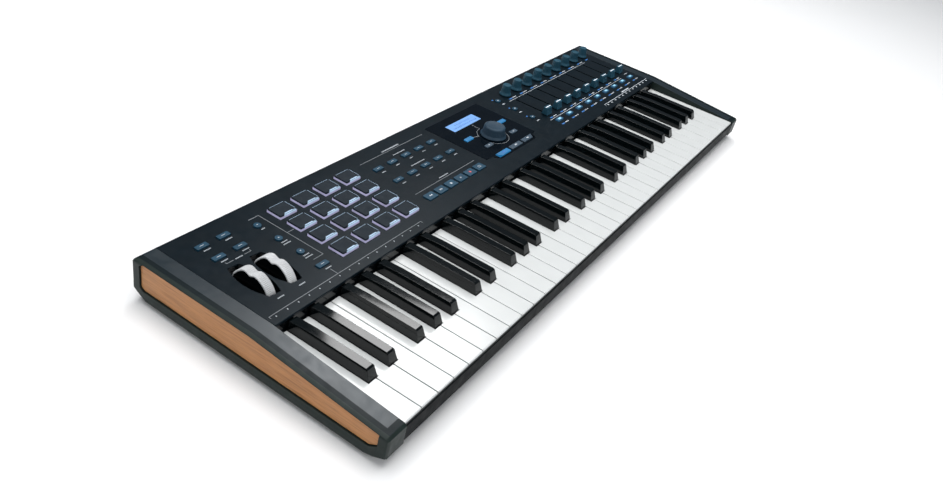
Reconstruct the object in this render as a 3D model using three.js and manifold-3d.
// A 61-key performance synthesizer: folded metal case, wood-faced end cheeks, moulded
// key combs, pads, wheels, buttons, knobs and faders, each a separate solid.
// Millimetres, +Z up, +X to the player's right, +Y to the back; the origin is on the
// ground under the middle of the case. Sizes below are measured from the left end (x),
// from the front edge (y) and from the ground (z); the root group moves them to the origin.
import * as THREE from 'three';
import { mergeVertices } from 'three/addons/utils/BufferGeometryUtils.js';
import Module from 'manifold-3d';

const wasm = await Module();
wasm.setup();

// ---- driving dimensions -------------------------------------------------------------
const WIDTH = 895;
const DEPTH = 291;
const GROUND_CLEARANCE = 3.5;
const PANEL_TOP = 45.8;
const SHEET = 1.5;
const GAP = 0.3;

const CHEEK_INNER = 24.6;
const CHEEK_BEVEL = 3;
const PANEL_FRONT = 142;
const SLOPE_START = 148.8;
const FRONT_TOP = 33.9;
const WOOD_FACE = 1.6;
const WOOD_BACK = 9;

const OCTAVES = 5;
const WHITE_PITCH = 23.5;
const OCTAVE = 7 * WHITE_PITCH;
const KEYS_LEFT = 24.5;
const KEY_GAP = 1;
const WHITE_TOP = 32.8;
const WHITE_FRONT = 2.5;
const KEY_REAR = 141;
const BLACK_TOP = 44;
const BLACK_FRONT = 51.3;
const BLACK_CENTRES = [20.3, 47.8, 89, 116.1, 143];
const BLACK_BASE = 12;
const BLACK_CROWN = 8.6;
const BLACK_WAIST = 33.5;
const BLACK_BOTTOM = 29;
const PIVOT_Y = 161;
const WEB_HALF = 5;
const WEB_HEIGHT = 3.5;
const WEB_LEVELS = { naturals_outer: 14.5, naturals_inner: 18.7, sharps: 22.9 };
const LEVER_WIDTH = 8;

const CONTROL_PITCH = 30.6;
const CONTROL_LEFT = 604;
const CONTROLS = 9;
const KNOB_Y = 263.8;
const FADER_REST_Y = 195.3;
const FADER_TRAVEL = 45;
const SELECT_Y = 174.3;
const WHEEL_CENTRES = [55.5, 82.5];
const WHEEL_Y = 197.8;
const WHEEL_Z = 32.3;
const WHEEL_RADIUS = 24.5;
const WHEEL_WIDTH = 10;
const ENCODER = { at: [481.5, 207.8], hole: 5, clearance: 8 };
const BUTTON_PROUD = 1.6;
const WEB_TOP = 41.8;
const WEB_THICK = 1.2;
const BOARD_TOP = 38.5;
const BOARD_THICK = 1.6;
const SIDES = 16;

// ---- materials ----------------------------------------------------------------------
const finish = (color, roughness, metalness = 0) => ({ color, roughness, metalness });
const FINISHES = {
  metal: finish(0x2b333d, 0.45, 0.6),
  frame: finish(0x39423f, 0.5),
  wood: finish(0xa76b42, 0.55),
  white: finish(0xf1f3f2, 0.2),
  black: finish(0x0c0d0f, 0.2),
  rubber: finish(0x2f3a4a, 0.8),
  button: finish(0x3c4655, 0.7),
  glow: finish(0xaaccfa, 0.4),
  board: finish(0x1d5a3a, 0.6),
  foot: finish(0x16181a, 0.9),
};

// ---- solids -------------------------------------------------------------------------
function toSolid(geometry) {
  geometry.deleteAttribute('normal');
  geometry.deleteAttribute('uv');
  const welded = mergeVertices(geometry, 1e-4);
  return new wasm.Manifold(new wasm.Mesh({
    numProp: 3,
    vertProperties: welded.attributes.position.array,
    triVerts: Uint32Array.from(welded.index.array),
  }));
}

function toGeometry(solid) {
  const mesh = solid.getMesh();
  const geometry = new THREE.BufferGeometry();
  geometry.setAttribute('position', new THREE.BufferAttribute(mesh.vertProperties, 3));
  geometry.setIndex(new THREE.BufferAttribute(mesh.triVerts, 1));
  geometry.computeVertexNormals();
  return geometry;
}

const joined = (solids) => solids.reduce((whole, piece) => whole.add(piece));
const cut = (solid, tools) => (tools.length ? solid.subtract(joined(tools)) : solid);

function block([x0, x1], [y0, y1], [z0, z1]) {
  const geometry = new THREE.BoxGeometry(x1 - x0, y1 - y0, z1 - z0);
  geometry.translate((x0 + x1) / 2, (y0 + y1) / 2, (z0 + z1) / 2);
  return toSolid(geometry);
}

const outline = (points) => new THREE.Shape(points.map(([a, b]) => new THREE.Vector2(a, b)));

// A flat outline in x and y, raised from z0 to z1.
function slab(points, z0, z1) {
  const geometry = new THREE.ExtrudeGeometry(outline(points), { depth: z1 - z0, bevelEnabled: false });
  geometry.translate(0, 0, z0);
  return toSolid(geometry);
}

// A side outline in y and z, run along x; a bevel rounds both of its ends.
function rail(points, x0, x1, bevel = 0) {
  const geometry = new THREE.ExtrudeGeometry(outline(points), {
    depth: x1 - x0 - 2 * bevel,
    bevelEnabled: bevel > 0,
    bevelThickness: bevel,
    bevelSize: bevel,
    bevelOffset: -bevel,
    bevelSegments: 2,
  });
  const turn = new THREE.Matrix4().set(0, 0, 1, x0 + bevel, 1, 0, 0, 0, 0, 1, 0, 0, 0, 0, 0, 1);
  geometry.applyMatrix4(turn);
  return toSolid(geometry);
}

// A turned piece on a vertical axis: pairs of radius and height from the bottom up.
function turned(pairs, sides, x = 0, y = 0) {
  const [bottom, top] = [pairs[0][1], pairs.at(-1)[1]];
  const profile = [[0, bottom], ...pairs, [0, top]].map(([r, z]) => new THREE.Vector2(r, z));
  const geometry = new THREE.LatheGeometry(profile, sides);
  geometry.rotateX(Math.PI / 2);
  geometry.translate(x, y, 0);
  return toSolid(geometry);
}

// A tapered block: its base and its top are both centred on x and y.
function taper(x, y, base, top, z0, z1) {
  const geometry = new THREE.CylinderGeometry(Math.SQRT1_2, Math.SQRT1_2, z1 - z0, 4, 1);
  geometry.rotateX(Math.PI / 2);
  geometry.rotateZ(Math.PI / 4);
  const points = geometry.attributes.position;
  for (let i = 0; i < points.count; i += 1) {
    const [width, length] = points.getZ(i) > 0 ? top : base;
    const across = Math.sign(Math.round(points.getX(i) * 4)) * width / 2;
    const along = Math.sign(Math.round(points.getY(i) * 4)) * length / 2;
    points.setXYZ(i, x + across, y + along, points.getZ(i) + (z0 + z1) / 2);
  }
  return toSolid(geometry);
}

const around = ([x, y], [width, length], [z0, z1]) => (
  block([x - width / 2, x + width / 2], [y - length / 2, y + length / 2], [z0, z1])
);

// ---- assembly -----------------------------------------------------------------------
const synthesizer = new THREE.Group();
synthesizer.position.set(-WIDTH / 2, -DEPTH / 2, 0);

function place(name, solid, kind, [x, y, z] = [0, 0, 0]) {
  const mesh = new THREE.Mesh(toGeometry(solid), new THREE.MeshStandardMaterial(FINISHES[kind]));
  mesh.name = name;
  mesh.position.set(x, y, z);
  synthesizer.add(mesh);
}

// ---- end cheeks with wood inlays ----------------------------------------------------
const CHEEK_SIDE = [
  [21, GROUND_CLEARANCE], [275.5, GROUND_CLEARANCE], [DEPTH, 12.5], [DEPTH, 43.3], [288.5, PANEL_TOP],
  [SLOPE_START, PANEL_TOP], [2.5, FRONT_TOP], [0, 31.8], [0, 11.3], [12.8, 5.3],
];
const INLAY_SIDE = [
  [17.3, 15.5], [277, 15.5], [280.8, 18.8], [280.8, 42], [277, 44.5],
  [SLOPE_START, 44.5], [9.3, 33.1], [9.3, 20.5],
];
const INLAY_MIDDLE = [145, 30];

const shrunk = (points, by, middle) => (
  points.map((point) => point.map((v, i) => v - Math.sign(v - middle[i]) * by))
);
const mirrored = (solid) => solid.mirror([1, 0, 0]).translate([WIDTH, 0, 0]);

function leftCheek() {
  const whole = rail(CHEEK_SIDE, 0, CHEEK_INNER + CHEEK_BEVEL, CHEEK_BEVEL);
  const spare = block([CHEEK_INNER, CHEEK_INNER + 2 * CHEEK_BEVEL], [-1, DEPTH + 1], [0, PANEL_TOP + 1]);
  return cut(whole, [spare, rail(INLAY_SIDE, -1, WOOD_BACK + GAP)]);
}

const leftInlay = () => rail(shrunk(INLAY_SIDE, GAP, INLAY_MIDDLE), WOOD_FACE, WOOD_BACK);

place('left_cheek', leftCheek(), 'frame');
place('right_cheek', mirrored(leftCheek()), 'frame');
place('left_wood_inlay', leftInlay(), 'wood');
place('right_wood_inlay', mirrored(leftInlay()), 'wood');

// ---- folded case sheets -------------------------------------------------------------
const SPAN = [CHEEK_INNER + GAP, WIDTH - CHEEK_INNER - GAP];
const SOCKETS = [
  { name: 'power_in', x: 640, size: [9, 9] },
  { name: 'pedal_in', x: 664, size: [9, 9] },
  { name: 'expression_in', x: 688, size: [9, 9] },
  { name: 'midi_out', x: 718, size: [15, 15] },
  { name: 'midi_in', x: 748, size: [15, 15] },
  { name: 'usb_port', x: 776, size: [12, 11] },
];
const SOCKET_Z = 23;
const SOCKET_DEPTH = 10;
const SOCKET_FIELD = [628, 790];
const SOCKET_BAND = [14.5, 31.5];
const SOCKET_BLOCK = 16;
const BACK_FACE = DEPTH - GAP;
const TRAY_EDGE = 33;
const TRAY_SIDE = [
  [2, 13], [13.5, GROUND_CLEARANCE], [275.5, GROUND_CLEARANCE], [BACK_FACE, 12.7],
  [BACK_FACE, TRAY_EDGE], [BACK_FACE - SHEET, TRAY_EDGE], [BACK_FACE - SHEET, 13.6],
  [275, GROUND_CLEARANCE + SHEET], [14.2, GROUND_CLEARANCE + SHEET], [3.5, 13.6],
];
const FRONT_RAIL_SIDE = [
  [0.2, 14.2], [6, 14.2], [6, 15.6], [1.6, 15.6], [1.6, 31], [1.3, 31.6], [0.8, 31.6], [0.2, 30.9],
];
const FASCIA_SIDE = [[142.7, 28], [150, 28], [150, 29.8], [144.4, 29.8], [144.4, 42.6], [142.7, 42.6]];

function bottomTray() {
  const socketWindow = block(SOCKET_FIELD, [DEPTH - 2 * SHEET, DEPTH + 1], SOCKET_BAND);
  return cut(rail(TRAY_SIDE, ...SPAN), [socketWindow]);
}

function socketStrip() {
  const [x0, x1] = SOCKET_FIELD;
  const [z0, z1] = SOCKET_BAND;
  const strip = block([x0 + GAP, x1 - GAP], [DEPTH - SOCKET_BLOCK, BACK_FACE], [z0 + GAP, z1 - GAP]);
  const hollows = SOCKETS.map(({ x, size: [width, height] }) => block(
    [x - width / 2, x + width / 2],
    [DEPTH - SOCKET_DEPTH, DEPTH + 1],
    [SOCKET_Z - height / 2, SOCKET_Z + height / 2],
  ));
  return cut(strip, hollows);
}

place('bottom_tray', bottomTray(), 'metal');
place('rear_socket_strip', socketStrip(), 'black');
place('front_rail', rail(FRONT_RAIL_SIDE, ...SPAN), 'black');
place('key_fascia', rail(FASCIA_SIDE, ...SPAN), 'black');

const FOOT_RADIUS = 10;
const FOOT_CHAMFER = 0.8;
const FOOT_TOP = GROUND_CLEARANCE - GAP;
const FOOT_X = 95;
const FOOT_Y = 42;
const FOOT_PROFILE = [
  [FOOT_RADIUS - FOOT_CHAMFER, 0], [FOOT_RADIUS, 1], [FOOT_RADIUS, FOOT_TOP],
];
const FEET = { front_left: [0, 0], front_right: [1, 0], rear_left: [0, 1], rear_right: [1, 1] };
Object.entries(FEET).forEach(([corner, [right, back]]) => {
  const x = right ? WIDTH - FOOT_X : FOOT_X;
  const y = back ? DEPTH - FOOT_Y : FOOT_Y;
  place(`${corner}_foot`, turned(FOOT_PROFILE, SIDES), 'foot', [x, y, 0]);
});

// ---- keys: moulded combs on one pivot line ------------------------------------------
const NATURAL_SIDES = [[null, 0], [0, 1], [1, null], [null, 2], [2, 3], [3, 4], [4, null]];
const COMBS = { naturals_outer: [0, 2, 4, 6], naturals_inner: [1, 3, 5] };
const NOTCH_HALF = BLACK_BASE / 2 + 0.5;
const NOTCH_Y = BLACK_FRONT - 1;
const HEEL = 8;
const SHARP_SIDE = [
  [BLACK_FRONT, BLACK_BOTTOM], [KEY_REAR, BLACK_BOTTOM], [KEY_REAR, BLACK_TOP - 1.6], [118, BLACK_TOP],
  [BLACK_FRONT + 5.2, BLACK_TOP], [BLACK_FRONT + 3.4, BLACK_TOP - 1], [BLACK_FRONT, BLACK_WAIST],
];

// The narrow stretch of a natural between its neighbouring sharps.
function naturalNeck(index) {
  const [before, after] = NATURAL_SIDES[index];
  const left = before === null ? index * WHITE_PITCH + KEY_GAP / 2 : BLACK_CENTRES[before] + NOTCH_HALF;
  const right = after === null ? (index + 1) * WHITE_PITCH - KEY_GAP / 2 : BLACK_CENTRES[after] - NOTCH_HALF;
  return [left, right];
}

function lever(x, level) {
  const width = [x - LEVER_WIDTH / 2, x + LEVER_WIDTH / 2];
  return block(width, [KEY_REAR - HEEL, PIVOT_Y + WEB_HALF], [level, level + WEB_HEIGHT]);
}

// A natural seen from above: its wide front and the neck between the sharps.
function naturalPlan([left, right], [neckLeft, neckRight], level) {
  const corners = [
    [left, WHITE_FRONT], [right, WHITE_FRONT], [right, NOTCH_Y], [neckRight, NOTCH_Y],
    [neckRight, KEY_REAR], [neckLeft, KEY_REAR], [neckLeft, NOTCH_Y], [left, NOTCH_Y],
  ];
  const differs = ([x, y], i) => i === 0 || x !== corners[i - 1][0] || y !== corners[i - 1][1];
  return slab(corners.filter(differs), level, WHITE_TOP);
}

const naturalSide = (level) => [
  [WHITE_FRONT, 26], [WHITE_FRONT + 3, 26], [WHITE_FRONT + 5, 28], [KEY_REAR - 12, 26],
  [KEY_REAR - 12, level], [KEY_REAR, level], [KEY_REAR, WHITE_TOP],
  [WHITE_FRONT + 1, WHITE_TOP], [WHITE_FRONT, WHITE_TOP - 1],
];

function naturalKey(origin, index, level, full = false) {
  const left = origin + index * WHITE_PITCH + KEY_GAP / 2;
  const right = left + WHITE_PITCH - KEY_GAP;
  const neck = full ? [left, right] : naturalNeck(index).map((x) => x + origin);
  const side = rail(naturalSide(level), left - 1, right + 1);
  const body = naturalPlan([left, right], neck, level).intersect(side);
  return body.add(lever((neck[0] + neck[1]) / 2, level));
}

function sharpKey(origin, index, level) {
  const x = origin + BLACK_CENTRES[index];
  const [base, crown] = [BLACK_BASE / 2, BLACK_CROWN / 2];
  const side = rail(SHARP_SIDE, x - base, x + base);
  const section = slab([
    [x - base, BLACK_BOTTOM], [x + base, BLACK_BOTTOM], [x + base, BLACK_WAIST],
    [x + crown, BLACK_TOP + 1], [x - crown, BLACK_TOP + 1], [x - base, BLACK_WAIST],
  ], 0, KEY_REAR).rotate([90, 0, 0]).translate([0, KEY_REAR, 0]);
  const core = block([x - base + 1.5, x + base - 1.5], [BLACK_FRONT + 4, KEY_REAR], [25, BLACK_BOTTOM + 1]);
  const heel = around([x, KEY_REAR - HEEL / 2], [LEVER_WIDTH, HEEL], [level, BLACK_BOTTOM + 1]);
  return joined([side.intersect(section), core, heel, lever(x, level)]);
}

// The cross web that ties one comb's levers together over the pivot line.
function web(from, to, level) {
  return block([from, to], [PIVOT_Y - WEB_HALF, PIVOT_Y + WEB_HALF], [level, level + WEB_HEIGHT]);
}

function comb(keys, centres, level) {
  const reach = LEVER_WIDTH / 2;
  return joined([...keys, web(Math.min(...centres) - reach, Math.max(...centres) + reach, level)]);
}

const neckCentre = (index) => (naturalNeck(index)[0] + naturalNeck(index)[1]) / 2;

for (let octave = 0; octave < OCTAVES; octave += 1) {
  const origin = KEYS_LEFT + octave * OCTAVE;
  const label = `octave_${octave + 1}`;
  Object.entries(COMBS).forEach(([kind, indices]) => {
    const level = WEB_LEVELS[kind];
    const keys = indices.map((index) => naturalKey(origin, index, level));
    const centres = indices.map((index) => origin + neckCentre(index));
    if (kind === 'naturals_outer' && octave === OCTAVES - 1) {
      keys.push(naturalKey(origin + OCTAVE, 0, level, true));
      centres.push(origin + OCTAVE + WHITE_PITCH / 2);
    }
    place(`${label}_${kind}`, comb(keys, centres, level), 'white');
  });
  const sharps = BLACK_CENTRES.map((centre, index) => sharpKey(origin, index, WEB_LEVELS.sharps));
  const centres = BLACK_CENTRES.map((centre) => origin + centre);
  place(`${label}_sharps`, comb(sharps, centres, WEB_LEVELS.sharps), 'black');
}

const KEY_BED_SIDE = [
  [24, 5.3], [170, 5.3], [170, 13.4], [152, 13.4], [152, 7], [34, 7], [34, 12], [24, 12],
];
place('key_frame', rail(KEY_BED_SIDE, CHEEK_INNER + 2, WIDTH - CHEEK_INNER - 2), 'frame');

// ---- panel layout: every opening is cut for the piece that comes through it ----------
const rows = (xs, ys) => ys.flatMap((y) => xs.map((x) => [x, y]));
const steps = (first, pitch, count) => Array.from({ length: count }, (_, i) => first + i * pitch);
const CONTROL_XS = steps(CONTROL_LEFT, CONTROL_PITCH, CONTROLS);

const BUTTON = [14, 6];
const LEFT_RECTS = [...rows([55, 81], [241.5, 263.5]), [117, 172]];
const LEFT_ROUNDS = [255, 227, 199].map((y) => [116.5, y]);
const COMMANDS = rows([296, 322, 348, 373.5, 399], [219, 248]);
const TRANSPORT = { size: [16, 11], at: rows(steps(297, 20, 6), [175]) };
const ROUND_RADIUS = 4;
const NAVIGATION = {
  size: [15, 6],
  at: [[445.5, 221.8], [525, 221.8], [453.5, 196.3], [513.5, 196.3]],
};
const CATEGORIES = { size: [26, 7], at: [[453, 174.5], [483.3, 174.5], [513.6, 174.5]] };
const PARTS = { size: [8.4, 7], at: [201.8, 230.3, 258.3].map((y) => [575, y]) };
const SELECTS = CONTROL_XS.map((x) => [x, SELECT_Y]);

const PADS = { size: [24.4, 19.4], at: rows(steps(153.3, 33.5, 4), steps(177, 27, 4)) };
const PAD_TOP = PANEL_TOP + 3.5;
const PAD_TAPER = 2;
const WINDOW = [
  [420.5, 179], [432, 178.2], [440, 168.5], [525.6, 168.5],
  [533, 178.2], [541, 179], [541, 272.8], [420.5, 272.8],
];
const WINDOW_MIDDLE = [480.8, 220];
const LCD = { centre: [478, 251.8], size: [62.4, 16] };
const WHEEL_SLOT = [WHEEL_WIDTH + 1.6, 2 * WHEEL_RADIUS + 2];

const cap = ([width, length], at, z) => at.map((spot) => around(spot, [width, length], z));
const holes = (size, at, z, room = 0.8) => cap(size.map((v) => v + room), at, z);
const THROUGH = [PANEL_TOP - 8, PANEL_TOP + 5];
const shaft = (radius, [z0, z1], [x, y], sides = SIDES) => turned([[radius, z0], [radius, z1]], sides, x, y);

// A lens: two arcs that meet at the ends of a wheel's slot.
function lens(x, y, halfLength, halfWidth, z0, z1) {
  const points = 10;
  const endHalf = 6;
  const side = (sign) => steps(0, 1, points).map((i) => {
    const t = Math.cos(Math.PI * i / points);
    return [x + sign * (halfWidth * (1 - t * t) + endHalf * t * t), y - sign * halfLength * t];
  });
  return slab([...side(1), ...side(-1)], z0, z1);
}

// The panel is folded down at its front lip and, round a softer bend, at its back.
const PANEL_SIDE = [
  [PANEL_FRONT, 43], [PANEL_FRONT + SHEET, 43], [PANEL_FRONT + SHEET, PANEL_TOP - SHEET],
  [BACK_FACE - 4, PANEL_TOP - SHEET], [BACK_FACE - 2.2, PANEL_TOP - 2.2], [BACK_FACE - SHEET, PANEL_TOP - 4],
  [BACK_FACE - SHEET, TRAY_EDGE + GAP], [BACK_FACE, TRAY_EDGE + GAP], [BACK_FACE, PANEL_TOP - 3.4],
  [BACK_FACE - 1, PANEL_TOP - 1], [BACK_FACE - 3.4, PANEL_TOP],
  [PANEL_FRONT + 0.6, PANEL_TOP], [PANEL_FRONT, PANEL_TOP - 0.6],
];
const KNOB_HOLE = 4;
const FADER_SLOT = 3;
const FADER_END = 4.5;

function topPanel() {
  const rounds = [
    ...LEFT_ROUNDS.map((at) => shaft(ROUND_RADIUS + 0.4, THROUGH, at)),
    ...CONTROL_XS.map((x) => shaft(KNOB_HOLE, THROUGH, [x, KNOB_Y])),
  ];
  const slotSize = [FADER_SLOT, FADER_TRAVEL + 2 * FADER_END];
  const slots = CONTROL_XS.map((x) => around([x, FADER_REST_Y + FADER_TRAVEL / 2], slotSize, THROUGH));
  return cut(rail(PANEL_SIDE, ...SPAN), [
    ...holes(BUTTON, [...LEFT_RECTS, ...COMMANDS, ...SELECTS], THROUGH),
    ...holes(TRANSPORT.size, TRANSPORT.at, THROUGH),
    ...holes(PARTS.size, PARTS.at, THROUGH),
    ...holes(PADS.size, PADS.at, THROUGH, 1),
    ...WHEEL_CENTRES.map((x) => lens(x, WHEEL_Y, 27, 12.4, ...THROUGH)),
    slab(shrunk(WINDOW, -GAP, WINDOW_MIDDLE), ...THROUGH),
    ...rounds,
    ...slots,
  ]);
}

function displayWindow() {
  const plate = slab(WINDOW, PANEL_TOP - SHEET - 0.2, PANEL_TOP + 0.3);
  return cut(plate, [
    ...holes(LCD.size, [LCD.centre], THROUGH, 0.6),
    ...holes(NAVIGATION.size, NAVIGATION.at, THROUGH),
    ...holes(CATEGORIES.size, CATEGORIES.at, THROUGH),
    shaft(ENCODER.hole, THROUGH, ENCODER.at),
  ]);
}

place('top_panel', topPanel(), 'metal');
place('display_window', displayWindow(), 'black');
place('lcd_screen', around(LCD.centre, LCD.size, [BOARD_TOP + GAP, PANEL_TOP]), 'glow');

// ---- rubber mats: raised caps on one thin sheet under the panel ----------------------
const WEB_Z = [WEB_TOP - WEB_THICK, WEB_TOP];
const CAP_Z = [WEB_TOP - 0.4, PANEL_TOP + BUTTON_PROUD];
const sheetUnder = ([x0, x1], [y0, y1]) => block([x0, x1], [y0, y1], WEB_Z);

function leftButtons() {
  const rounds = LEFT_ROUNDS.map((at) => shaft(ROUND_RADIUS, CAP_Z, at));
  const sheets = [sheetUnder([46, 125], [237, 271]), sheetUnder([109, 125.5], [168, 240])];
  return joined([...sheets, ...cap(BUTTON, LEFT_RECTS, CAP_Z), ...rounds]);
}

function dawButtons() {
  const caps = [...cap(BUTTON, COMMANDS, CAP_Z), ...cap(TRANSPORT.size, TRANSPORT.at, CAP_Z)];
  return joined([sheetUnder([288, 409], [169, 256]), ...caps]);
}

function navigatorButtons() {
  const plate = cut(sheetUnder([436, 534], [169.5, 228]), [shaft(ENCODER.clearance, THROUGH, ENCODER.at)]);
  const groups = [NAVIGATION, CATEGORIES];
  return joined([plate, ...groups.flatMap(({ size, at }) => cap(size, at, CAP_Z))]);
}

const partButtons = () => joined([sheetUnder([568, 582], [196, 264]), ...cap(PARTS.size, PARTS.at, CAP_Z)]);
const selectButtons = () => joined([sheetUnder([594, 859], [168, 180.5]), ...cap(BUTTON, SELECTS, CAP_Z)]);

function padMat() {
  const top = PADS.size.map((v) => v - PAD_TAPER);
  const pads = PADS.at.map(([x, y]) => taper(x, y, PADS.size, top, CAP_Z[0], PAD_TOP));
  return joined([sheetUnder([137, 270], [163, 272]), ...pads]);
}

place('left_buttons', leftButtons(), 'button');
place('daw_buttons', dawButtons(), 'button');
place('navigator_buttons', navigatorButtons(), 'button');
place('part_buttons', partButtons(), 'button');
place('select_buttons', selectButtons(), 'glow');
place('pad_mat', padMat(), 'rubber');

// The board stops short of the power socket's plug at its rear edge.
function mainBoard() {
  const board = block([104, 862], [176, 280], [BOARD_TOP - BOARD_THICK, BOARD_TOP]);
  return cut(board, [block([590, 640], [240, 281], THROUGH.map((z) => z - 8))]);
}
place('main_board', mainBoard(), 'board');

// ---- wheels in their housing ---------------------------------------------------------
const AXLE = 2;
const AXLE_REACH = 3;
const AXLE_PLAY = 0.25;
const THUMB_RADIUS = 5.5;
const THUMB_LIFT = 3.4;

function wheel() {
  const sides = 2 * SIDES;
  const half = WHEEL_WIDTH / 2;
  const rim = turned([
    [WHEEL_RADIUS - 1, -half], [WHEEL_RADIUS, -half + 1], [WHEEL_RADIUS, half - 1], [WHEEL_RADIUS - 1, half],
  ], sides);
  const axle = turned([[AXLE, -half - AXLE_REACH], [AXLE, half + AXLE_REACH]], 12);
  const thumb = shaft(THUMB_RADIUS, [-half - 1, half + 1], [0, WHEEL_RADIUS + THUMB_LIFT]);
  return rim.add(axle).subtract(thumb).rotate([90, 0, 90]);
}

function wheelHousing() {
  const bounds = block([41, 97], [WHEEL_Y - 30, WHEEL_Y + 30], [26, PANEL_TOP - SHEET - GAP]);
  const slots = WHEEL_CENTRES.map((x) => around([x, WHEEL_Y], WHEEL_SLOT, [20, PANEL_TOP]));
  const reach = WHEEL_WIDTH / 2 + AXLE_REACH + GAP;
  const bore = turned([[AXLE + AXLE_PLAY, -reach], [AXLE + AXLE_PLAY, reach]], 12).rotate([90, 0, 90]);
  const bores = WHEEL_CENTRES.map((x) => bore.translate([x, WHEEL_Y, WHEEL_Z]));
  const dishes = WHEEL_CENTRES.map((x) => lens(x, WHEEL_Y, 26.4, 11.8, PANEL_TOP - 5.5, PANEL_TOP));
  return cut(bounds, [...slots, ...bores, ...dishes]);
}

place('wheel_housing', wheelHousing(), 'black');
place('pitch_wheel', wheel(), 'white', [WHEEL_CENTRES[0], WHEEL_Y, WHEEL_Z]);
place('modulation_wheel', wheel(), 'white', [WHEEL_CENTRES[1], WHEEL_Y, WHEEL_Z]);

// ---- encoder, knobs and faders -------------------------------------------------------
const SHAFT_FOOT = BOARD_TOP + GAP - PANEL_TOP;
const ENCODER_PROFILE = [
  [3, SHAFT_FOOT], [3, 1], [17, 1], [17, 3], [15.2, 4.2], [13.6, 13.2], [12.4, 14.4],
];
const KNOB_PROFILE = [
  [2.8, SHAFT_FOOT], [2.8, 0.8], [9.2, 0.8], [9.2, 2.4], [6.9, 5], [6.2, 14.8], [5.4, 15.6],
];
const GRIP_HALF = 7;
const GRIP_SIDE = [
  [-5.2, 0.9], [5.2, 0.9], [4.2, 9.5], [3.2, 10.8], [0, 10], [-3.2, 10.8], [-4.2, 9.5],
];
place('menu_encoder', turned(ENCODER_PROFILE, 24), 'rubber', [...ENCODER.at, PANEL_TOP]);

const knob = () => turned(KNOB_PROFILE, SIDES);

function fader() {
  const stem = around([0, 0], [1.8, 6], [SHAFT_FOOT, 2]);
  return rail(GRIP_SIDE, -GRIP_HALF, GRIP_HALF).add(stem);
}

CONTROL_XS.forEach((x, i) => {
  place(`knob_${i + 1}`, knob(), 'rubber', [x, KNOB_Y, PANEL_TOP]);
  place(`fader_${i + 1}`, fader(), 'rubber', [x, FADER_REST_Y, PANEL_TOP]);
});

export default synthesizer;
